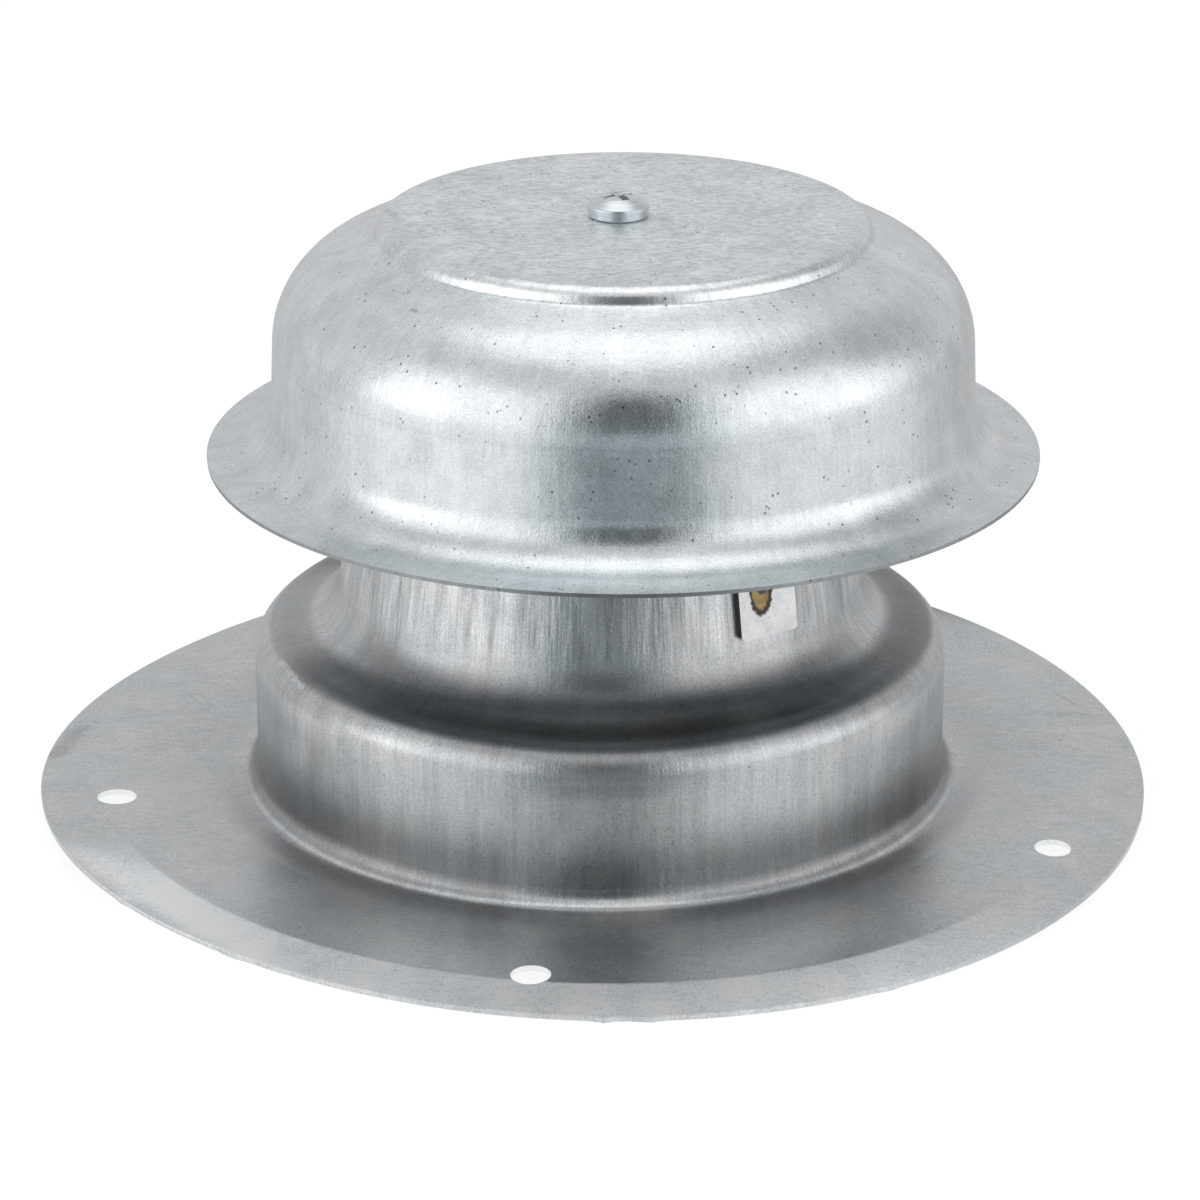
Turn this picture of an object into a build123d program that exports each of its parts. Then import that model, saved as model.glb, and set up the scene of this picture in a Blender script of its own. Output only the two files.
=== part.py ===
# Roof plumbing vent: a drawn steel base with a screw-down flange and a tapering neck, and a drawn cap
# held over the neck by a welded strap and one pan-head screw.
# Millimetres. Z up, origin under the middle of the flange, level with its lowest edge.
import os
from math import cos, radians, tan

from build123d import *

# Base, outer surface of one drawn sheet; its radii step out from the pipe hole and in from the rim
BASE_SHEET = 0.8
PIPE_HOLE_R = 31.0
NECK_LIP = 3.7
NECK_TOP_Z = 58.0
NECK_TOP_BEND = 3.0
NECK_TAPER = 8.5
WAIST_BEND = 7.9
SHOULDER_Z = 25.25
SHOULDER_BEND = 4.8
DRUM_OUTSET = 20.4
DRUM_R = PIPE_HOLE_R + DRUM_OUTSET
ROOT_BEND = 3.0
DRAW_RING_WIDTH = 7.1
DRAW_RING_R = DRUM_R + DRAW_RING_WIDTH
DRAW_RING_RISE = 0.35
DRAW_RING_BEND = 6.0
FLANGE_R = 82.55
FLANGE_MARGIN = 8.25
FLANGE_CREASE_R = FLANGE_R - FLANGE_MARGIN
FLANGE_DROOP = 0.4
CREASE_BEND = 4.0

# Flange screw holes
HOLE_COUNT = 5
HOLE_INSET = 10.05
HOLE_PITCH_R = FLANGE_R - HOLE_INSET
HOLE_R = 2.75
HOLE_FIRST_ANGLE = -25.2

# Cap, outer surface of one drawn sheet; it sits a little off the middle of the base
CAP_SHEET = 0.6
CAP_X = 3.4
DISC_Z = 86.7
DISC_OUTSET = 4.3
DISC_R = PIPE_HOLE_R + DISC_OUTSET
DISC_STEP = 2.35
DISC_STEP_RUN = 0.7
DISC_EDGE_BEND = 1.3
DISC_FOOT_BEND = 1.3
DOME_SLOPE = 20.0
DOME_BEND = 15.0
WALL_OUTSET = 0.2
WALL_FOOT_R = DRUM_R + WALL_OUTSET
WALL_DRAFT = 2.4
BRIM_WIDTH = 9.3
BRIM_R = WALL_FOOT_R + BRIM_WIDTH
BRIM_Z = 52.1
BRIM_SLOPE = 6.0
BRIM_BEND = 4.5

# Strap across the neck
STRAP_SHEET = 1.0
STRAP_WIDTH = 9.9
STRAP_ANGLE = -55.3
STRAP_FOOT_Z = 34.0
STRAP_BEND = 1.5
STRAP_CORNER_R = 0.9
WELD_FLAT = 0.06
WELD_Z = 40.6
WELD_SHIFT = -1.1
WELD_R = 1.7
WELD_FLOOR_R = 1.1
WELD_DEPTH = 0.25

# Cap screw
SCREW_X = 2.6
SCREW_HEAD_R = 4.45
SCREW_HEAD_SIDE = 1.6
SCREW_CROWN = 1.5
SCREW_CROWN_FLAT_R = 1.2
SCREW_SHANK_R = 2.05
SCREW_LENGTH = 11.0
SCREW_POINT = 1.2
RECESS_WIDTH = 1.15
RECESS_SPAN = 5.2
RECESS_DEPTH = 2.0
RECESS_FLOOR_SPAN = 2.0
RECESS_ANGLE = 28.0
STRAP_HOLE_GAP = 0.1
CAP_HOLE_GAP = 0.55


def neck_r(z):
    # outer radius of the neck's straight taper at a height
    return PIPE_HOLE_R + NECK_LIP + (NECK_TOP_Z - z) * tan(radians(NECK_TAPER))


def bent_sheet(corners, bends, thickness, side):
    # section of a sheet: a line through the corners, each corner rounded, thickened to one side
    line = Polyline(*corners)
    for corner, bend in zip(corners[1:-1], bends):
        vertex = line.vertices().sort_by_distance((*corner, 0))[0]
        line = fillet(vertex, bend)
    return make_face(offset(line, thickness, side=side).edges())


def spun(section):
    # the section's first axis is the radius, its second the height
    return revolve(Plane.XZ * section, Axis.Z)


def make_base(strap):
    top = BASE_SHEET + FLANGE_DROOP
    corners = [
        (FLANGE_R, BASE_SHEET),
        (FLANGE_CREASE_R, top),
        (DRAW_RING_R, top),
        (DRUM_R, top + DRAW_RING_RISE),
        (DRUM_R, SHOULDER_Z),
        (neck_r(SHOULDER_Z), SHOULDER_Z),
        (neck_r(NECK_TOP_Z), NECK_TOP_Z),
        (PIPE_HOLE_R, NECK_TOP_Z),
    ]
    bends = [CREASE_BEND, DRAW_RING_BEND, ROOT_BEND, SHOULDER_BEND, WAIST_BEND, NECK_TOP_BEND]
    base = spun(bent_sheet(corners, bends, BASE_SHEET, Side.LEFT))
    hole = Cylinder(HOLE_R, 4 * top)
    for i in range(HOLE_COUNT):
        angle = HOLE_FIRST_ANGLE + i * 360 / HOLE_COUNT
        base -= Rot(0, 0, angle) * Pos(HOLE_PITCH_R, 0, 0) * hole
    # the neck is flattened where the strap's legs are welded to it
    return base - strap


def make_cap():
    foot_z = DISC_Z - DISC_STEP
    foot_r = DISC_R + DISC_STEP_RUN
    brim_in_z = BRIM_Z + BRIM_WIDTH * tan(radians(BRIM_SLOPE))
    # where the sloping top of the dome would meet the drafted wall
    slope, draft = tan(radians(DOME_SLOPE)), tan(radians(WALL_DRAFT))
    rise = (foot_z - brim_in_z - slope * (WALL_FOOT_R - foot_r)) / (1 - slope * draft)
    corners = [
        (0, DISC_Z),
        (DISC_R, DISC_Z),
        (foot_r, foot_z),
        (WALL_FOOT_R - rise * draft, brim_in_z + rise),
        (WALL_FOOT_R, brim_in_z),
        (BRIM_R, BRIM_Z),
    ]
    bends = [DISC_EDGE_BEND, DISC_FOOT_BEND, DOME_BEND, BRIM_BEND]
    cap = Pos(CAP_X, 0, 0) * spun(bent_sheet(corners, bends, CAP_SHEET, Side.RIGHT))
    return cap - Pos(SCREW_X, 0, DISC_Z) * Cylinder(SCREW_SHANK_R + CAP_HOLE_GAP, 4 * CAP_SHEET)


def strap_frame():
    # on the screw's axis, with X along the strap
    return Pos(SCREW_X, 0, 0) * Rot(0, 0, STRAP_ANGLE)


def make_strap():
    seat_z = DISC_Z - CAP_SHEET
    inner_z = seat_z - STRAP_SHEET
    # the neck's axis seen from the strap's own frame
    middle = -SCREW_X * cos(radians(STRAP_ANGLE))
    foot_u = neck_r(STRAP_FOOT_Z) - WELD_FLAT
    top_u = neck_r(inner_z) - WELD_FLAT
    corners = [
        (middle - foot_u, STRAP_FOOT_Z),
        (middle - top_u, inner_z),
        (middle + top_u, inner_z),
        (middle + foot_u, STRAP_FOOT_Z),
    ]
    section = bent_sheet(corners, [STRAP_BEND, STRAP_BEND], STRAP_SHEET, Side.LEFT)
    strap = extrude(Plane.XZ * section, STRAP_WIDTH / 2, both=True)
    feet = strap.edges().filter_by(lambda e: e.length < 1.01 * STRAP_SHEET and e.center().Z < STRAP_FOOT_Z + 1)
    strap = fillet(feet, STRAP_CORNER_R)
    strap -= Pos(0, 0, inner_z) * Cylinder(SCREW_SHANK_R + STRAP_HOLE_GAP, 4 * STRAP_SHEET)
    # the electrode leaves a shallow round pit in each leg
    face_u = neck_r(WELD_Z) - WELD_FLAT + STRAP_SHEET / cos(radians(NECK_TAPER))
    pit = Cone(WELD_FLOOR_R, 2 * WELD_R - WELD_FLOOR_R, 2 * WELD_DEPTH)
    for side in (-1, 1):
        outward = 90 - NECK_TAPER if side > 0 else NECK_TAPER - 90
        strap -= Pos(middle + side * face_u, WELD_SHIFT, WELD_Z) * Rot(0, outward, 0) * pit
    return strap_frame() * strap


def cross_recess():
    # four tapering slots sunk from the crown
    cutter = Part()
    for turn in (0, 90):
        wide = Rectangle(RECESS_SPAN, RECESS_WIDTH)
        narrow = Pos(0, 0, -RECESS_DEPTH) * Rectangle(RECESS_FLOOR_SPAN, 0.8 * RECESS_WIDTH)
        cutter += Rot(0, 0, turn) * loft([narrow, wide])
    return Rot(0, 0, RECESS_ANGLE) * cutter


def make_screw():
    with BuildPart() as screw:
        with BuildSketch(Plane.XZ):
            with BuildLine():
                crown_z = SCREW_HEAD_SIDE + SCREW_CROWN
                Polyline((SCREW_CROWN_FLAT_R, crown_z), (0, crown_z), (0, -SCREW_LENGTH),
                         (SCREW_SHANK_R - 0.8 * SCREW_POINT, -SCREW_LENGTH),
                         (SCREW_SHANK_R, SCREW_POINT - SCREW_LENGTH),
                         (SCREW_SHANK_R, 0), (SCREW_HEAD_R, 0), (SCREW_HEAD_R, SCREW_HEAD_SIDE))
                TangentArc((SCREW_CROWN_FLAT_R, crown_z), (SCREW_HEAD_R, SCREW_HEAD_SIDE), tangent=(1, 0))
            make_face()
        revolve(axis=Axis.Z)
    head = screw.part - Pos(0, 0, SCREW_HEAD_SIDE + SCREW_CROWN + 0.01) * cross_recess()
    return Pos(SCREW_X, 0, DISC_Z) * head


os.makedirs("parts", exist_ok=True)
cap_strap = make_strap()
nodes = {
    "base_flashing": make_base(cap_strap),
    "cap": make_cap(),
    "cap_strap": cap_strap,
    "cap_screw": make_screw(),
}
for name, shape in nodes.items():
    export_step(shape, f"parts/{name}.step")
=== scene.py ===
from math import atan2, cos, degrees, exp, pi, radians, sin, tan

import bmesh
import bpy
from mathutils import Matrix, Vector


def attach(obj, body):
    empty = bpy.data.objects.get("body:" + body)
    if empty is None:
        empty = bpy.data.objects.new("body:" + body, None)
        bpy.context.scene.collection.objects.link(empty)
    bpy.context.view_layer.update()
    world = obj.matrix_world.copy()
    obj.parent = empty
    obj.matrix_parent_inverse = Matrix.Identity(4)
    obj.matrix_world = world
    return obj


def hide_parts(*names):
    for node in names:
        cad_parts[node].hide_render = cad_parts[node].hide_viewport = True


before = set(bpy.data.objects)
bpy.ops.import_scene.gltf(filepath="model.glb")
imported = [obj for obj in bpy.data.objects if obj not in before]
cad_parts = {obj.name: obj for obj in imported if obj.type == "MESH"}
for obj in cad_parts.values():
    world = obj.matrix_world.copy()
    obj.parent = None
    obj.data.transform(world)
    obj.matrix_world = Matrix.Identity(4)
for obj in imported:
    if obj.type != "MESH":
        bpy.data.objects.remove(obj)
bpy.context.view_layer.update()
mm = 0.001
perMetre = 1000.0


def roundCorners(corners, bends, arcSteps=8, maxStep=2.5):
    # corners with rounding radii become one evenly cut line
    pts = [Vector(corners[0])]
    for i, bend in enumerate(bends, 1):
        a, b, c = (Vector(corners[j]) for j in (i - 1, i, i + 1))
        u, v = (a - b).normalized(), (c - b).normalized()
        half = u.angle(v) / 2
        reach = bend / tan(half)
        centre = b + (u + v).normalized() * (bend / sin(half))
        first, last = b + u * reach - centre, b + v * reach - centre
        sweep = first.angle_signed(last)
        for k in range(arcSteps + 1):
            turn = -sweep * k / arcSteps
            pts.append(centre + Matrix.Rotation(turn, 2) @ first)
    pts.append(Vector(corners[-1]))
    line = [pts[0]]
    for p in pts[1:]:
        start = line[-1]
        n = max(1, round((p - start).length / maxStep))
        line += [start.lerp(p, k / n) for k in range(1, n + 1)]
    return line


def sheetLoop(line, thickness):
    # section of a sheet, the line on its outer face
    inner = []
    for i, p in enumerate(line):
        along = line[min(i + 1, len(line) - 1)] - line[max(i - 1, 0)]
        side = Vector((-along.y, along.x)).normalized()
        inner.append(p + side * thickness)
    return line + inner[::-1]


def smooth(mesh, sharp=40):
    mesh.shade_smooth()
    mesh.set_sharp_from_angle(angle=radians(sharp))


def meshObject(name, bm, sharp=40):
    mesh = bpy.data.meshes.new(name)
    bm.to_mesh(mesh)
    bm.free()
    smooth(mesh, sharp)
    obj = bpy.data.objects.new(name, mesh)
    bpy.context.collection.objects.link(obj)
    return obj


def lathe(name, loop, steps, centreX=0.0, closed=True):
    # spins a section round the upright axis
    bm = bmesh.new()
    verts = [bm.verts.new((p.x * mm, 0, p.y * mm)) for p in loop]
    edges = [bm.edges.new(pair) for pair in zip(verts, verts[1:] + verts[:closed])]
    bmesh.ops.spin(bm, geom=verts + edges, cent=(0, 0, 0), axis=(0, 0, 1), angle=2 * pi, steps=steps, use_merge=True)
    bmesh.ops.remove_doubles(bm, verts=bm.verts, dist=1e-6)
    bmesh.ops.translate(bm, verts=bm.verts, vec=(centreX * mm, 0, 0))
    bmesh.ops.recalc_face_normals(bm, faces=bm.faces)
    return meshObject(name, bm)


def carve(obj, cutter):
    # takes the cutter's shape out of the piece for good
    mod = obj.modifiers.new("carve", "BOOLEAN")
    mod.object, mod.solver = cutter, "MANIFOLD"
    done = bpy.data.meshes.new_from_object(obj.evaluated_get(bpy.context.evaluated_depsgraph_get()))
    obj.modifiers.clear()
    obj.data = done
    bpy.data.objects.remove(cutter)
    done.materials.clear()
    smooth(done)


def punch(obj, spots, radius, depth=8.0, segments=48):
    # round holes straight down through a sheet
    bm = bmesh.new()
    for spot in spots:
        bmesh.ops.create_cone(bm, cap_ends=True, segments=segments, radius1=radius * mm, radius2=radius * mm,
                              depth=depth * mm, matrix=Matrix.Translation(Vector(spot) * mm))
    carve(obj, meshObject("punches", bm))


def markEdges(obj, amount, steep=0.5):
    # how far each sheared edge of a sheet takes its painted light and shade
    mark = obj.data.attributes.new("paintedEdgeLight", "FLOAT", "FACE")
    for face in obj.data.polygons:
        if abs(face.normal.z) < steep:
            mark.data[face.index].value = amount(Vector(face.center[:2]).length / mm)


# flange, drum, shoulder and neck, drawn from one sheet
base = dict(sheet=0.8, flangeR=82.55, creaseR=74.3, droop=0.4, ringR=58.5, ringRise=0.35, drumR=51.4,
            shoulderZ=25.25, neckTop=58.0, pipeR=31.0, neckLip=3.7, taper=8.5,
            bends=(4.0, 6.0, 3.0, 4.8, 7.9, 3.0), steps=320,
            holes=5, holePitchR=72.5, holeR=2.75, holeAngle=-25.2,
            holesFrom=68.0, holeEdgeLight=1.0, rimFrom=80.0, rimEdgeShade=-0.35)


def neckRadius(z):
    return base["pipeR"] + base["neckLip"] + (base["neckTop"] - z) * tan(radians(base["taper"]))


def baseEdgeLightShade(r):
    # painted light on the holes' cut walls, painted shade on the rim's cut edge
    if r < base["holesFrom"]:
        return 0.0
    return base["holeEdgeLight"] if r < base["rimFrom"] else base["rimEdgeShade"]


flangeTop = base["sheet"] + base["droop"]
corners = [(base["flangeR"], base["sheet"]), (base["creaseR"], flangeTop), (base["ringR"], flangeTop),
           (base["drumR"], flangeTop + base["ringRise"]), (base["drumR"], base["shoulderZ"]),
           (neckRadius(base["shoulderZ"]), base["shoulderZ"]), (neckRadius(base["neckTop"]), base["neckTop"]),
           (base["pipeR"], base["neckTop"])]
baseObj = lathe("drawnBase", sheetLoop(roundCorners(corners, base["bends"]), base["sheet"]), base["steps"])
holeTurns = [radians(base["holeAngle"] + i * 360 / base["holes"]) for i in range(base["holes"])]
punch(baseObj, [(base["holePitchR"] * cos(a), base["holePitchR"] * sin(a), 0) for a in holeTurns], base["holeR"])
markEdges(baseObj, baseEdgeLightShade)

# the thin flange isn't quite flat or round: it waves a little towards its rim, where shearing left a few small burrs
wave = dict(startR=58.5, power=2.5, shift=(-1.1, 0.3), grow=0.25,
            waves=((-0.12, 0.37), (-0.32, 1.09), (-0.02, -0.41)), burrR=82.0, burrWide=0.9, burrOut=0.5,
            burrs=((-88.9, 0.22), (-84.7, 0.2), (-126.5, 0.2), (-61.0, 0.15), (-143.0, 0.15), (-12.0, 0.15)))
for v in baseObj.data.vertices:
    r, a = Vector(v.co[:2]).length / mm, atan2(v.co.y, v.co.x)
    outward = Vector((cos(a), sin(a), 0))
    if r > wave["startR"]:
        share = ((r - wave["startR"]) / (base["flangeR"] - wave["startR"])) ** wave["power"]
        lift = sum(c * cos(n * a) + s * sin(n * a) for n, (c, s) in enumerate(wave["waves"], 1))
        v.co += (Vector((*wave["shift"], lift)) + wave["grow"] * outward) * share * mm
    if r > wave["burrR"]:
        burr = sum(size * exp(-((degrees(a) - at) / wave["burrWide"]) ** 2) for at, size in wave["burrs"])
        v.co += (wave["burrOut"] * outward - Vector((0, 0, 1))) * burr * mm
print("base", len(baseObj.data.polygons))

# raised disc, dome, wall and brim, drawn from one sheet
cap = dict(sheet=0.6, x=3.4, discZ=86.7, discR=35.3, step=2.35, stepRun=0.7, slope=20.0, wallR=51.6, draft=2.4,
           brimR=60.9, brimZ=52.1, brimSlope=6.0, bends=(2.1, 0.8, 15.0, 7.0), arcSteps=12, steps=320,
           screwX=2.6, holeR=2.6, rimFrom=57.0)
footZ, footR = cap["discZ"] - cap["step"], cap["discR"] + cap["stepRun"]
brimIn = cap["brimZ"] + (cap["brimR"] - cap["wallR"]) * tan(radians(cap["brimSlope"]))
slope, draft = tan(radians(cap["slope"])), tan(radians(cap["draft"]))
rise = (footZ - brimIn - slope * (cap["wallR"] - footR)) / (1 - slope * draft)
corners = [(0, cap["discZ"]), (cap["discR"], cap["discZ"]), (footR, footZ),
           (cap["wallR"] - rise * draft, brimIn + rise), (cap["wallR"], brimIn), (cap["brimR"], cap["brimZ"])]
capLine = roundCorners(corners, cap["bends"], cap["arcSteps"])
# turned so that the section starts and ends on the axis
loop = sheetLoop(capLine[::-1], cap["sheet"])
loop = loop[len(capLine):] + loop[:len(capLine)]
capObj = lathe("drawnCap", loop, cap["steps"], cap["x"], closed=False)
punch(capObj, [(cap["screwX"], 0, cap["discZ"])], cap["holeR"])
# painted shade on the brim's sheared rim
markEdges(capObj, lambda r: float(r > cap["rimFrom"]))
print("cap", len(capObj.data.polygons))

# pan-head screw with a cross recess and a cut thread
screw = dict(x=2.6, z=86.7, headR=4.45, side=1.75, crown=3.1, crownFlat=2.3, bevel=0.3, seatGap=0.02,
             shankR=2.05, length=11.0, point=1.2, pointR=1.1, bends=(3.4, 0.35, 0.12, 0.05, 0.05, 0.3, 0.2),
             steps=96, arcSteps=6, maxStep=0.6,
             slot=(5.2, 1.2), slotFloor=0.42, slotDepth=2.0, slotProud=0.02, slotAngle=28.0,
             threadR=2.4, pitch=0.8, toothHalf=0.36, toothSunk=0.1, threadStart=1.4, turns=10, turnSteps=48)
corners = [(0, screw["crown"]), (screw["crownFlat"], screw["crown"]), (screw["headR"], screw["side"]),
           (screw["headR"], screw["bevel"]), (screw["headR"] - screw["bevel"], screw["seatGap"]),
           (screw["shankR"], screw["seatGap"]), (screw["shankR"], screw["point"] - screw["length"]),
           (screw["pointR"], -screw["length"]), (0, -screw["length"])]
line = roundCorners(corners, screw["bends"], screw["arcSteps"], screw["maxStep"])
screwObj = lathe("panScrew", line, screw["steps"], closed=False)
screwObj.data.transform(Matrix.Translation(Vector((screw["x"], 0, screw["z"])) * mm))

# each slot is a four-sided cone, stretched to the slot's length and width
slots = bmesh.new()
slotMiddle = screw["z"] + screw["crown"] - screw["slotDepth"] / 2 + screw["slotProud"]
halfSquare = cos(radians(45)) * mm
for turn in (0, 90):
    shape = Matrix.Translation(Vector((screw["x"], 0, slotMiddle)) * mm)
    shape = shape @ Matrix.Rotation(radians(turn + screw["slotAngle"]), 4, "Z")
    shape = shape @ Matrix.Diagonal((*screw["slot"], 1, 1)) @ Matrix.Rotation(radians(45), 4, "Z")
    bmesh.ops.create_cone(slots, cap_ends=True, segments=4, radius1=screw["slotFloor"] * halfSquare,
                          radius2=halfSquare, depth=screw["slotDepth"] * mm, matrix=shape)
carve(screwObj, meshObject("slots", slots))

thread = bmesh.new()
rootR = screw["shankR"] - screw["toothSunk"]
threadZ = screw["z"] - screw["length"] + screw["threadStart"]
tooth = ((rootR, -screw["toothHalf"]), (screw["threadR"], 0.0), (rootR, screw["toothHalf"]))
ends = [thread.verts.new(((screw["x"] + r) * mm, 0, (threadZ + z) * mm)) for r, z in tooth]
sides = [thread.edges.new(pair) for pair in zip(ends, ends[1:] + ends[:1])]
bmesh.ops.spin(thread, geom=ends + sides, cent=(screw["x"] * mm, 0, 0), axis=(0, 0, 1),
               dvec=(0, 0, screw["pitch"] * mm / screw["turnSteps"]),
               angle=2 * pi * screw["turns"], steps=screw["turnSteps"] * screw["turns"])
bmesh.ops.holes_fill(thread, edges=thread.edges)
bmesh.ops.recalc_face_normals(thread, faces=thread.faces)
threadObj = meshObject("screwThread", thread, sharp=30)
print("screw", len(screwObj.data.polygons), len(threadObj.data.polygons))


def addNode(tree, kind, values=None, **settings):
    # one node with its settings, socket values and incoming links
    n = tree.nodes.new("ShaderNode" + kind)
    for key, value in settings.items():
        setattr(n, key, value)
    for key, value in (values or {}).items():
        if isinstance(value, bpy.types.NodeSocket):
            tree.links.new(value, n.inputs[key])
        else:
            n.inputs[key].default_value = value
    return n


def wire(tree, sockets, values):
    for key, value in values.items():
        tree.links.new(value, sockets[key])


def calc(tree, op, *terms):
    return addNode(tree, "Math", dict(enumerate(terms)), operation=op).outputs[0]


def vec(tree, op, *terms):
    out = "Value" if op in ("LENGTH", "DISTANCE", "DOT_PRODUCT") else "Vector"
    return addNode(tree, "VectorMath", dict(enumerate(terms)), operation=op).outputs[out]


def scaled(tree, vector, amount):
    return addNode(tree, "VectorMath", {0: vector, "Scale": amount}, operation="SCALE").outputs["Vector"]


def split(tree, vector):
    return addNode(tree, "SeparateXYZ", {0: vector}).outputs


def moved(tree, spot, **how):
    return addNode(tree, "Mapping", {"Vector": spot, **how}).outputs[0]


def noise(tree, spot, scale, detail, rough=0.5):
    return addNode(tree, "TexNoise", {"Vector": spot, "Scale": scale, "Detail": detail, "Roughness": rough}).outputs


def ramp(tree, value, low, high, start=0.0, end=1.0):
    values = {"Value": value, "From Min": low, "From Max": high, "To Min": start, "To Max": end}
    return addNode(tree, "MapRange", values, interpolation_type="SMOOTHSTEP").outputs[0]


def blend(tree, amount, a, b):
    return addNode(tree, "Mix", {"Factor": amount, 4: a, 5: b}, data_type="VECTOR").outputs[1]


def around(tree, value, amount, middle=0.0):
    # a noise value swung about a middle one
    return calc(tree, "MULTIPLY_ADD", value, amount, middle - amount / 2)


def gain(tree, mask, amount):
    # one outside the mask, the amount inside it
    return calc(tree, "MULTIPLY_ADD", mask, amount - 1, 1.0)


def bumps(tree, height, depth):
    return addNode(tree, "Bump", {"Height": height, "Strength": 1.0, "Distance": depth}).outputs[0]


def newGroup(name, ins, outs):
    tree = bpy.data.node_groups.new(name, "ShaderNodeTree")
    for key, kind in ins.items():
        tree.interface.new_socket(key, in_out="INPUT", socket_type="NodeSocket" + kind)
    for key in outs:
        tree.interface.new_socket(key, in_out="OUTPUT", socket_type="NodeSocketFloat")
    return tree, tree.nodes.new("NodeGroupInput").outputs, tree.nodes.new("NodeGroupOutput").inputs


def useGroup(tree, group, **values):
    return addNode(tree, "Group", values, node_tree=group).outputs


def newMetal(name):
    mat = bpy.data.materials.new(name)
    mat.use_nodes = True
    shader = mat.node_tree.nodes["Principled BSDF"].inputs
    shader["Metallic"].default_value = 1
    return mat, mat.node_tree, shader


# lines that a press draws down a round wall and out along a flange, and where on the piece they are
lineRough = 0.6
tree, given, put = newGroup("drawLines", dict(Place="Vector", Across="Float", Along="Float", Detail="Float"),
                            ("Lines", "Radius", "Height", "Front", "Left"))
parts = split(tree, vec(tree, "MULTIPLY", given["Place"], [perMetre] * 3))
flat = addNode(tree, "CombineXYZ", {0: parts[0], 1: parts[1]}).outputs[0]
radius, spoke = vec(tree, "LENGTH", flat), vec(tree, "NORMALIZE", flat)
run = calc(tree, "MULTIPLY", calc(tree, "SUBTRACT", radius, parts[2]), given["Along"])
run = addNode(tree, "CombineXYZ", {2: run}).outputs[0]
spot = vec(tree, "ADD", scaled(tree, spoke, given["Across"]), run)
facing = split(tree, spoke)
wire(tree, put, {"Lines": noise(tree, spot, 1.0, given["Detail"], lineRough)["Fac"],
                 "Radius": radius, "Height": parts[2],
                 "Front": calc(tree, "MULTIPLY", facing[1], -1.0), "Left": calc(tree, "MULTIPLY", facing[0], -1.0)})
drawLines = tree

# clouding, fine grain and specks of a galvanised sheet
zinc = dict(cloudDetail=4.0, cloudRough=0.62, grainScale=22.0, grainRough=0.7, dotScale=5.0, dotSize=(0.1, 0.21),
            patchScale=1.7, patchEdge=(0.5, 0.62), detail=3.0)
tree, given, put = newGroup("zincCloud", dict(Place="Vector", Size="Float"), ("Cloud", "Grain", "Specks"))
spot = scaled(tree, given["Place"], calc(tree, "DIVIDE", perMetre, given["Size"]))
dots = addNode(tree, "TexVoronoi", {"Vector": spot, "Scale": zinc["dotScale"], "Randomness": 1.0}).outputs["Distance"]
patches = ramp(tree, noise(tree, spot, zinc["patchScale"], zinc["detail"])["Fac"], *zinc["patchEdge"])
wire(tree, put, {"Cloud": noise(tree, spot, 1.0, zinc["cloudDetail"], zinc["cloudRough"])["Fac"],
                 "Grain": noise(tree, spot, zinc["grainScale"], zinc["detail"], zinc["grainRough"])["Fac"],
                 "Specks": calc(tree, "MULTIPLY", ramp(tree, dots, *zinc["dotSize"], 1.0, 0.0), patches)})
zincCloud = tree

# what the finishes of both drawn sheets share
drawn = dict(roughSway=0.2, edgeRough=0.15, driftEdge=(0.25, 0.75), rubDetail=4.0, rubRough=0.65, bumpDepth=0.001,
             scuffScale=1.2, scuffDetail=2.0, scuffSway=2.0, scuffCore=0.2)


def scuff(tree, spot, wobble, mark):
    # ragged streak from one point to another, seen from above, in millimetres
    a, b = Vector((*mark["a"], 0)), Vector((*mark["b"], 0))
    spot = vec(tree, "MULTIPLY_ADD", wobble, [mark["wide"] * drawn["scuffSway"]] * 3, spot)
    away = vec(tree, "SUBTRACT", spot, a)
    along = vec(tree, "DOT_PRODUCT", away, (b - a) / (b - a).length_squared)
    along = addNode(tree, "Clamp", {"Value": along}).outputs[0]
    gap = vec(tree, "DISTANCE", away, scaled(tree, b - a, along))
    return ramp(tree, gap, mark["wide"] * drawn["scuffCore"], mark["wide"], 1.0, 0.0)


def zoneMask(tree, at, zone):
    # one within a span of height or radius, and only towards the front or left where the zone says so
    low, high = zone["span"]
    softLow, softHigh = zone["soft"]
    where = at[zone["by"]]
    mask = calc(tree, "MULTIPLY", ramp(tree, where, low - softLow, low + softLow),
                ramp(tree, where, high - softHigh, high + softHigh, 1.0, 0.0))
    for key in ("front", "left"):
        if key in zone:
            mask = calc(tree, "MULTIPLY", mask, ramp(tree, at[key.title()], *zone[key]))
    return mask


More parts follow.
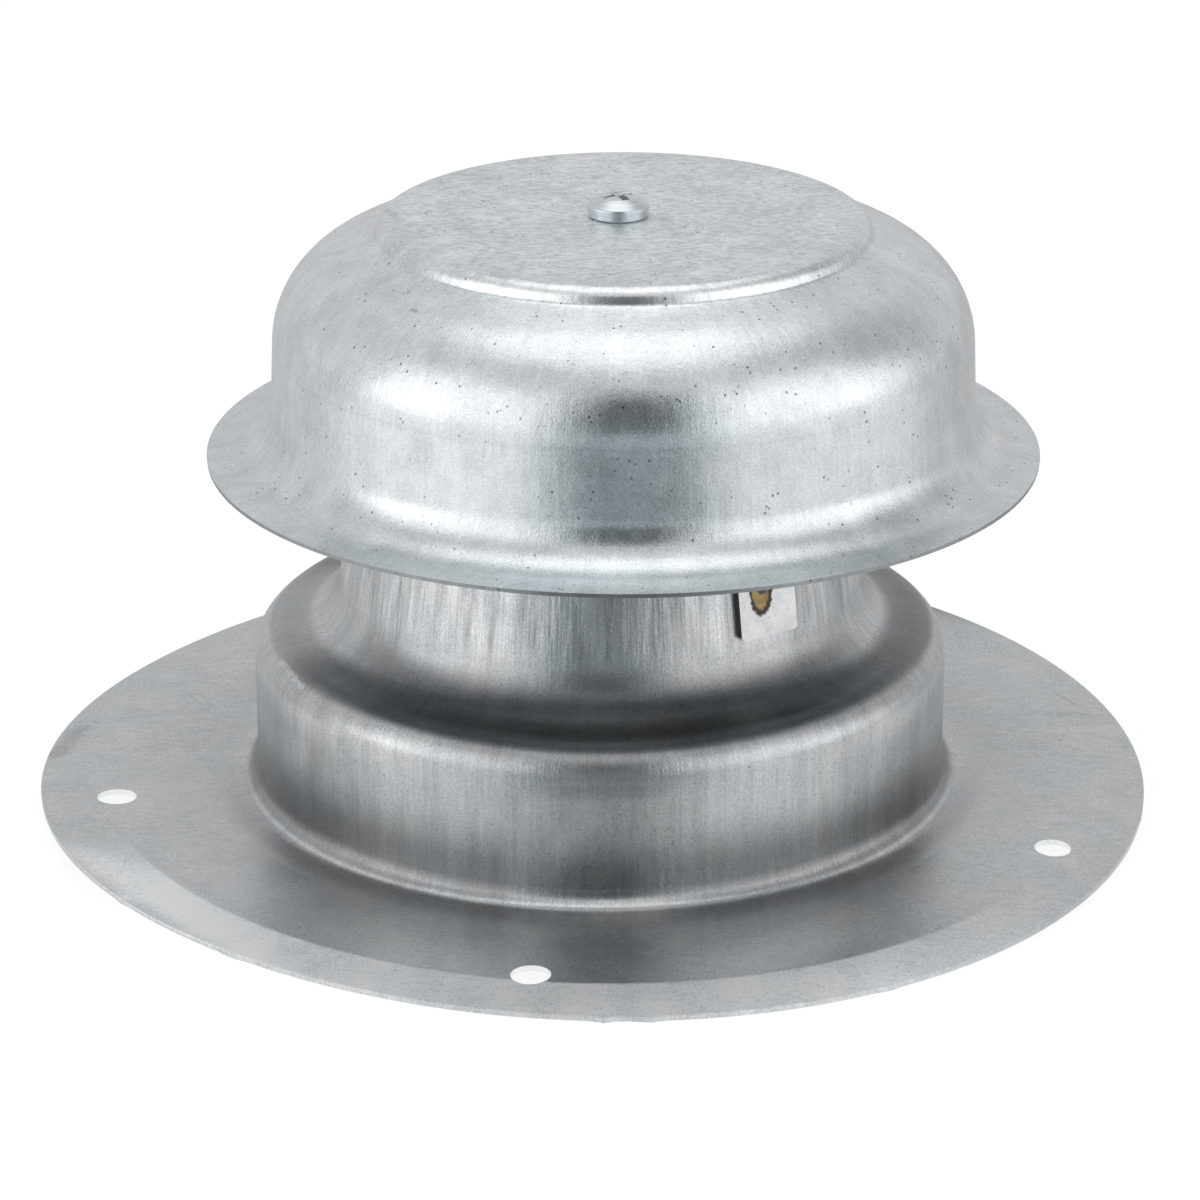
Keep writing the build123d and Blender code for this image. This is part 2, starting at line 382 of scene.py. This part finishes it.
def zincMaterial(name, finishAndLight):
    # galvanised sheet: streaks from the press, clouding, specks and a fine grain, with painted light and shade in
    # zones and on sheared edges
    mat, tree, shader = newMetal(name)
    place = moved(tree, addNode(tree, "TexCoord").outputs["Object"], Location=(-finishAndLight["x"] * mm, 0, 0))
    broad, fine = (useGroup(tree, drawLines, Place=place, Across=across, Along=along, Detail=detail)
                   for across, along, detail in (finishAndLight["broad"], finishAndLight["fine"]))
    cloud = useGroup(tree, zincCloud, Place=place, Size=finishAndLight["cloudSize"])
    rub = noise(tree, moved(tree, place, Scale=finishAndLight["rub"]), 1.0, drawn["rubDetail"], drawn["rubRough"])["Fac"]

    tone = calc(tree, "ADD", around(tree, cloud["Cloud"], finishAndLight["cloudTone"], 1.0),
                around(tree, cloud["Grain"], finishAndLight["grainTone"]))
    tone = calc(tree, "SUBTRACT", tone, calc(tree, "MULTIPLY", cloud["Specks"], finishAndLight["speckTone"]))
    lines = calc(tree, "ADD", around(tree, broad["Lines"], finishAndLight["broadTone"]),
                 around(tree, fine["Lines"], finishAndLight["fineTone"]))
    rubs = around(tree, rub, finishAndLight["rubTone"])
    rough = around(tree, cloud["Cloud"], drawn["roughSway"], finishAndLight["rough"])
    bumpy = 1.0
    for zone in finishAndLight["zones"]:
        mask = zoneMask(tree, broad, zone)
        if "tone" in zone:
            tone = calc(tree, "MULTIPLY", tone, gain(tree, mask, zone["tone"]))
        if "rough" in zone:
            rough = calc(tree, "MULTIPLY_ADD", mask, zone["rough"], rough)
        if "lines" in zone:
            lineGain = gain(tree, mask, zone["lines"])
            lines, bumpy = calc(tree, "MULTIPLY", lines, lineGain), calc(tree, "MULTIPLY", bumpy, lineGain)
        if "rubs" in zone:
            rubs = calc(tree, "MULTIPLY", rubs, gain(tree, mask, zone["rubs"]))
    tone = calc(tree, "MULTIPLY", tone, calc(tree, "ADD", 1.0, calc(tree, "ADD", lines, rubs)))

    flat = vec(tree, "MULTIPLY", place, (perMetre, perMetre, 0))
    wobble = noise(tree, flat, drawn["scuffScale"], drawn["scuffDetail"])["Color"]
    wobble = vec(tree, "SUBTRACT", wobble, (0.5, 0.5, 0.5))
    for mark in finishAndLight["scuffs"]:
        tone = calc(tree, "MULTIPLY", tone, gain(tree, scuff(tree, flat, wobble, mark), mark["tone"]))
    # painted light and shade on the sheared edges; they are rougher too
    paintedEdge = addNode(tree, "Attribute", attribute_name="paintedEdgeLight").outputs["Fac"]
    tone = calc(tree, "MULTIPLY", tone, gain(tree, paintedEdge, finishAndLight["edgeLightShade"]))
    rough = calc(tree, "MULTIPLY_ADD", paintedEdge, drawn["edgeRough"], rough)

    # bluish and brownish drifts in the zinc
    drift = useGroup(tree, zincCloud, Place=place, Size=finishAndLight["driftSize"])["Cloud"]
    tint = blend(tree, ramp(tree, drift, *drawn["driftEdge"]), finishAndLight["cool"], finishAndLight["warm"])
    height = calc(tree, "ADD", calc(tree, "MULTIPLY", fine["Lines"], finishAndLight["lineBump"]),
                  calc(tree, "MULTIPLY", broad["Lines"], finishAndLight["broadBump"]))
    height = calc(tree, "MULTIPLY_ADD", height, bumpy, calc(tree, "MULTIPLY", cloud["Grain"], finishAndLight["grainBump"]))
    height = calc(tree, "MULTIPLY_ADD", cloud["Cloud"], finishAndLight["cloudBump"], height)
    wire(tree, shader, {"Base Color": scaled(tree, tint, tone), "Roughness": rough,
                        "Normal": bumps(tree, height, drawn["bumpDepth"])})
    return mat


# broad and fine lines have a density across, a change along and a noise detail
# a zone multiplies tone, lines and rubs and adds to rough; its front and left say where it fades in
baseFinishAndPaintedLight = dict(
    x=0.0, cool=(0.588, 0.624, 0.642), warm=(0.618, 0.623, 0.62), rough=0.27,
    broad=(16.0, 0.05, 3.0), fine=(110.0, 0.1, 2.0), cloudSize=7.0, driftSize=14.0,
    broadTone=0.6, fineTone=0.35, cloudTone=0.25, grainTone=1.0, speckTone=0.2, edgeLightShade=1.6,
    rub=(420, 1500, 600), rubTone=0.4, lineBump=0.012, broadBump=0.05, grainBump=0.025, cloudBump=0.05,
    zones=(
        # drum, a little darker all round, with painted shade towards its foot except straight ahead
        dict(by="Height", span=(1.8, 24.6), soft=(0.6, 0.8), tone=0.94, rubs=0.0),
        dict(by="Height", span=(1.8, 10.5), soft=(0.4, 4.5), tone=0.46),
        dict(by="Height", span=(1.8, 10.5), soft=(0.4, 4.5), front=(0.95, 0.995), tone=1.65),
        # painted highlight along the bend at its root
        dict(by="Height", span=(1.65, 3.0), soft=(0.15, 0.45), front=(0.05, 0.55), tone=1.6),
        dict(by="Height", span=(1.68, 2.05), soft=(0.1, 0.25), front=(0.85, 0.98), tone=1.4),
        # painted shade in bands across its front
        dict(by="Height", span=(22.8, 25.0), soft=(0.8, 0.3), front=(0.85, 0.99), tone=0.82),
        dict(by="Height", span=(17.8, 19.8), soft=(0.5, 0.5), front=(0.975, 0.995), tone=0.85),
        # shoulder and waist: painted shade, less at the far left; fainter lines, no rubs, a rougher sheet
        dict(by="Height", span=(24.3, 26.3), soft=(0.5, 0.7), tone=0.42, rubs=0.0, lines=0.6, rough=0.06),
        dict(by="Height", span=(24.3, 26.3), soft=(0.5, 0.7), left=(0.88, 0.98), tone=1.8),
        dict(by="Height", span=(26.05, 30.5), soft=(0.7, 3.0), front=(0.3, 0.75),
             tone=0.42, rubs=0.0, lines=0.6, rough=0.06),
        # streaked neck
        dict(by="Height", span=(33.0, 90.0), soft=(2.0, 2.0), tone=1.05, rubs=0.0, lines=2.4),
        # flange: a darker ring beside the drum fading out towards the back, darker near the drum at the sides and
        # back, painted light on a rougher, streakier outer margin in front
        dict(by="Radius", span=(53.2, 57.5), soft=(0.4, 2.0), front=(-0.1, 0.45), tone=0.75, rubs=0.0),
        dict(by="Radius", span=(54.0, 90.0), soft=(1.0, 1.0), tone=1.06, lines=0.12),
        dict(by="Radius", span=(54.0, 66.0), soft=(1.0, 8.0), front=(0.9, 0.6), tone=0.92),
        dict(by="Radius", span=(56.0, 90.0), soft=(2.0, 1.0), front=(0.3, -0.2), rough=0.2),
        dict(by="Radius", span=(74.3, 90.0), soft=(0.35, 1.0), front=(0.3, 0.68), left=(-0.85, -0.45),
             tone=1.45, rough=0.3, lines=3.0)),
    scuffs=(dict(a=(-46.3, -16.9), b=(-42.6, -26.0), wide=0.55, tone=1.35),
            dict(a=(-82.7, 4.0), b=(-80.0, 14.0), wide=2.4, tone=0.82),
            dict(a=(70.0, 18.0), b=(75.5, 18.4), wide=1.4, tone=0.86),
            dict(a=(72.0, 25.6), b=(73.8, 22.6), wide=0.7, tone=0.85)))
baseObj.data.materials.append(zincMaterial("baseZinc", baseFinishAndPaintedLight))

capFinishAndPaintedLight = dict(
    x=3.4, cool=(0.795, 0.842, 0.865), warm=(0.808, 0.84, 0.856), rough=0.22,
    broad=(24.0, 0.04, 3.0), fine=(130.0, 0.05, 2.0), cloudSize=6.0, driftSize=20.0,
    broadTone=0.16, fineTone=0.16, cloudTone=0.5, grainTone=0.8, speckTone=0.7, edgeLightShade=0.5,
    rub=(800, 1900, 400), rubTone=0.85, lineBump=0.004, broadBump=0.03, grainBump=0.025, cloudBump=0.08,
    zones=(
        # disc, rubbed and without lines
        dict(by="Radius", span=(-9.0, 33.0), soft=(1.0, 3.0), lines=0.0, rubs=1.6, rough=0.22),
        dict(by="Radius", span=(37.0, 90.0), soft=(2.0, 2.0), rubs=0.35),
        # faint line where the dome meets the wall
        dict(by="Height", span=(68.4, 69.0), soft=(0.15, 0.15), tone=0.96),
        # painted highlight on the step in front, a darker brim
        dict(by="Height", span=(84.6, 86.2), soft=(0.3, 0.3), front=(0.7, 0.95), tone=1.2),
        dict(by="Height", span=(51.0, 53.3), soft=(0.5, 0.5), tone=0.92)),
    scuffs=(dict(a=(-34.2, 2.5), b=(-32.0, -2.5), wide=1.3, tone=0.84),
            dict(a=(-43.0, -3.0), b=(-40.2, -5.0), wide=0.9, tone=0.86),
            dict(a=(-29.2, -30.4), b=(-28.6, -30.8), wide=0.5, tone=0.7),
            dict(a=(-38.5, 8.0), b=(-35.8, 10.0), wide=0.8, tone=0.86)))
capObj.data.materials.append(zincMaterial("capZinc", capFinishAndPaintedLight))

# bright plated screw with faint turning marks round the head
plate = dict(colour=(0.72, 0.76, 0.79), rough=0.2, roughSway=0.2,
             marks=0.5, markScale=(150, 150, 6000), markDetail=3.0, cloudSize=2.5, cloudTone=0.4, bumpDepth=0.00001)
screwMat, tree, shader = newMetal("screwPlate")
place = addNode(tree, "TexCoord").outputs["Object"]
marks = noise(tree, moved(tree, place, Scale=plate["markScale"]), 1.0, plate["markDetail"])["Fac"]
cloud = useGroup(tree, zincCloud, Place=place, Size=plate["cloudSize"])
tone = calc(tree, "MULTIPLY", around(tree, marks, plate["marks"], 1.0),
            around(tree, cloud["Cloud"], plate["cloudTone"], 1.0))
wire(tree, shader, {"Base Color": scaled(tree, plate["colour"], tone),
                    "Roughness": around(tree, cloud["Cloud"], plate["roughSway"], plate["rough"]),
                    "Normal": bumps(tree, cloud["Grain"], plate["bumpDepth"])})
screwObj.data.materials.append(screwMat)
threadObj.data.materials.append(screwMat)

# pale strip, with painted shade on its sheared edges
strip = dict(angle=-55.3, x=2.6, halfWidth=4.95, edgeBand=(0.08, 0.03), colour=(0.8, 0.81, 0.82),
             edge=(0.10, 0.10, 0.105), rough=0.42, roughSway=0.2,
             cloudSize=3.0, cloudTone=0.8, speckTone=0.6, bumpDepth=0.00003)
# heat-tinted weld mark on the strip's foot, placed across and up the strip
weld = dict(y=-1.1, z=40.9, wide=1.9, up=1.8, down=3.5, ragged=0.9, raggedScale=1.6, raggedDetail=3.0,
            burnt=(0.10, 0.08, 0.065), ochre=(0.60, 0.44, 0.20), slag=(0.13, 0.13, 0.14), slagShift=(0.5, 0.1),
            burntEdge=(0.95, 1.25), ochreEdge=(0.45, 0.75), slagEdge=(0.5, 1.2), rough=0.2, metal=-0.6)


def squares(tree, a, b):
    return calc(tree, "ADD", calc(tree, "MULTIPLY", a, a), calc(tree, "MULTIPLY", b, b))


stripMat, tree, shader = newMetal("stripZinc")
place = addNode(tree, "TexCoord").outputs["Object"]
across = moved(tree, place, Location=(-strip["x"] * mm, 0, 0))
across = moved(tree, across, Rotation=(0, 0, radians(-strip["angle"])), Scale=[perMetre] * 3)
straight = split(tree, across)
wobble = noise(tree, across, weld["raggedScale"], weld["raggedDetail"])["Color"]
wobble = scaled(tree, vec(tree, "SUBTRACT", wobble, (0.5, 0.5, 0.5)), weld["ragged"])
ragged = split(tree, vec(tree, "ADD", across, wobble))
sideways, upward = calc(tree, "SUBTRACT", ragged[1], weld["y"]), calc(tree, "SUBTRACT", ragged[2], weld["z"])
tall = calc(tree, "MAXIMUM", calc(tree, "DIVIDE", upward, weld["up"]), calc(tree, "DIVIDE", upward, -weld["down"]))
pool = squares(tree, calc(tree, "DIVIDE", sideways, weld["wide"]), tall)
blob = squares(tree, calc(tree, "SUBTRACT", sideways, weld["slagShift"][0]),
               calc(tree, "SUBTRACT", upward, weld["slagShift"][1]))
frontLeg = calc(tree, "GREATER_THAN", straight[0], 0.0)
masks = {key: calc(tree, "MULTIPLY", ramp(tree, shape, *weld[key + "Edge"], 1.0, 0.0), frontLeg)
         for key, shape in (("burnt", pool), ("ochre", pool), ("slag", blob))}
cloud = useGroup(tree, zincCloud, Place=place, Size=strip["cloudSize"])
tone = calc(tree, "SUBTRACT", around(tree, cloud["Cloud"], strip["cloudTone"], 1.0),
            calc(tree, "MULTIPLY", cloud["Specks"], strip["speckTone"]))
colour = scaled(tree, strip["colour"], tone)
for key, mask in masks.items():
    colour = blend(tree, mask, colour, weld[key])
# painted shade on the strip's sheared edges
edge = ramp(tree, calc(tree, "ABSOLUTE", straight[1]), *(strip["halfWidth"] - band for band in strip["edgeBand"]))
rough = around(tree, cloud["Cloud"], strip["roughSway"], strip["rough"])
wire(tree, shader, {"Base Color": blend(tree, edge, colour, strip["edge"]),
                    "Roughness": calc(tree, "MULTIPLY_ADD", masks["burnt"], weld["rough"], rough),
                    "Metallic": calc(tree, "MULTIPLY_ADD", masks["burnt"], weld["metal"], 1.0),
                    "Normal": bumps(tree, calc(tree, "ADD", cloud["Grain"], cloud["Cloud"]), strip["bumpDepth"])})
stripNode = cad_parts["cap_strap"]
stripNode.data.materials.clear()
stripNode.data.materials.append(stripMat)

for obj, slot in ((baseObj, "base_zinc"), (capObj, "cap_zinc"), (screwObj, "screw_zinc"), (threadObj, "screw_zinc")):
    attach(obj, "root")
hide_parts("base_flashing")
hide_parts("cap")
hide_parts("cap_screw")
print("finishes")

# soft studio light: wide boxes left and right of the camera, one overhead, a dark gap between them; angles in degrees
studio = dict(turn=1.5, gap=(12, 34), gapHeight=(36, 48), gapShade=-0.9, gapTint=(0.9, 1.0, 1.05),
              ambient=0.63, sides=0.48, sideBearing=(74, 98), sideHeight=(30, 48),
              glows=(dict(aim=(-0.84, -0.24, 0.06), size=(25, 6), level=0.4),
                     dict(aim=(0.86, 0.0, 0.08), size=(25, 6), level=0.4),
                     dict(aim=(0.0, 0.12, 1.0), size=(36, 8), level=0.6),
                     dict(aim=(0.8, 0.2, 0.5), size=(40, 10), level=-0.16)))


def compass(tree, x, y):
    # angle away from the front, in degrees, the dark gap a little to the right of it
    turned = calc(tree, "SUBTRACT", calc(tree, "ARCTAN2", x, calc(tree, "MULTIPLY", y, -1.0)), radians(studio["turn"]))
    return calc(tree, "DEGREES", calc(tree, "ABSOLUTE", turned))


def tinted(tree, gap, level):
    # the gap is darker and a little bluer
    return scaled(tree, blend(tree, gap, (1, 1, 1), studio["gapTint"]), level)


def glow(tree, look, aim, size):
    # soft round patch in one direction
    facing = vec(tree, "DOT_PRODUCT", look, Vector(aim).normalized())
    return ramp(tree, facing, cos(radians(size[0])), cos(radians(size[1])))


def grey(level):
    return (level, level, level, 1)


# pale floor: white with the object's shadow to the camera, the studio's pattern in its reflections,
# pale paint to other rays
ground = dict(z=-1.5, size=3.0, glow=0.8, shadowPaint=0.3, paint=0.9, side=0.88, back=0.58, bearing=(80, 112),
              right=0.9, rightX=(0.03, 0.14), gap=0.2, gapY=(-0.08, -0.105), far=0.55, farY=(-0.35, -0.6))
floorBm = bmesh.new()
bmesh.ops.create_grid(floorBm, x_segments=1, y_segments=1, size=ground["size"],
                      matrix=Matrix.Translation((0, 0, ground["z"] * mm)))
floorObj = meshObject("floor", floorBm)
floorMat = bpy.data.materials.new("paleFloor")
floorMat.use_nodes = True
floorMat.cycles.emission_sampling = "NONE"
tree = floorMat.node_tree
tree.nodes.clear()
spot = split(tree, addNode(tree, "TexCoord").outputs["Object"])
bearing = compass(tree, spot[0], spot[1])
gap = calc(tree, "MULTIPLY", ramp(tree, bearing, *studio["gap"], 1.0, 0.0), ramp(tree, spot[1], *ground["gapY"]))
level = calc(tree, "MULTIPLY", ramp(tree, bearing, *ground["bearing"], ground["side"], ground["back"]),
             ramp(tree, spot[0], *ground["rightX"], 1.0, ground["right"]))
dark = ramp(tree, spot[1], *ground["farY"], ground["gap"], ground["far"])
level = addNode(tree, "Mix", {"Factor": gap, 2: level, 3: dark}, data_type="FLOAT").outputs[0]
paint = addNode(tree, "BsdfDiffuse", {"Color": grey(ground["paint"])}).outputs[0]
faint = addNode(tree, "BsdfDiffuse", {"Color": grey(ground["shadowPaint"])}).outputs[0]
white = addNode(tree, "Emission", {"Color": grey(1), "Strength": ground["glow"]}).outputs[0]
white = addNode(tree, "AddShader", {0: white, 1: faint}).outputs[0]
mirrored = addNode(tree, "Emission", {"Color": tinted(tree, gap, level)}).outputs[0]
path = addNode(tree, "LightPath").outputs
bounced = calc(tree, "MAXIMUM", path["Is Glossy Ray"], path["Is Transmission Ray"])
mix = addNode(tree, "MixShader", {0: bounced, 1: paint, 2: mirrored}).outputs[0]
mix = addNode(tree, "MixShader", {0: path["Is Camera Ray"], 1: mix, 2: white}).outputs[0]
addNode(tree, "OutputMaterial", {"Surface": mix})
floorObj.data.materials.append(floorMat)

world = bpy.data.worlds.new("studio")
bpy.context.scene.world = world
world.use_nodes = True
world.cycles.sampling_method = "NONE"  # the light is smooth enough without
tree = world.node_tree
tree.nodes.clear()
look = addNode(tree, "TexCoord").outputs["Generated"]
axes = split(tree, look)
bearing = compass(tree, axes[0], axes[1])
upward = calc(tree, "DEGREES", calc(tree, "ARCSINE", axes[2]))
gap = calc(tree, "MULTIPLY", ramp(tree, bearing, *studio["gap"], 1.0, 0.0),
           ramp(tree, upward, *studio["gapHeight"], 1.0, 0.0))
boxes = calc(tree, "MULTIPLY", ramp(tree, bearing, *studio["sideBearing"], studio["sides"], 0.0),
             ramp(tree, upward, *studio["sideHeight"], 1.0, 0.0))
light = calc(tree, "ADD", studio["ambient"], boxes)
for patch in studio["glows"]:
    light = calc(tree, "MULTIPLY_ADD", glow(tree, look, patch["aim"], patch["size"]), patch["level"], light)
light = calc(tree, "MULTIPLY", light, calc(tree, "MULTIPLY_ADD", gap, studio["gapShade"], 1.0))
sky = addNode(tree, "Background", {"Color": tinted(tree, gap, light)}).outputs[0]
backdrop = addNode(tree, "Background", {"Color": grey(1)}).outputs[0]
mix = addNode(tree, "MixShader", {0: addNode(tree, "LightPath").outputs["Is Camera Ray"], 1: sky, 2: backdrop})
addNode(tree, "OutputWorld", {"Surface": mix.outputs[0]})
print("studio")

# the photograph's place: a little above, looking slightly down
camera = dict(height=256.7, back=582.4, pitch=21.5, lens=126.12, sensor=36, clip=0.01)
camData = bpy.data.cameras.new("camera")
camData.lens, camData.sensor_width = camera["lens"], camera["sensor"]
camData.clip_start = camera["clip"]
camObj = bpy.data.objects.new("camera", camData)
camObj.location = (0, -camera["back"] * mm, camera["height"] * mm)
camObj.rotation_euler = (radians(90 - camera["pitch"]), 0, 0)
bpy.context.collection.objects.link(camObj)
scene = bpy.context.scene
scene.camera = camObj
scene.view_settings.view_transform = "Standard"
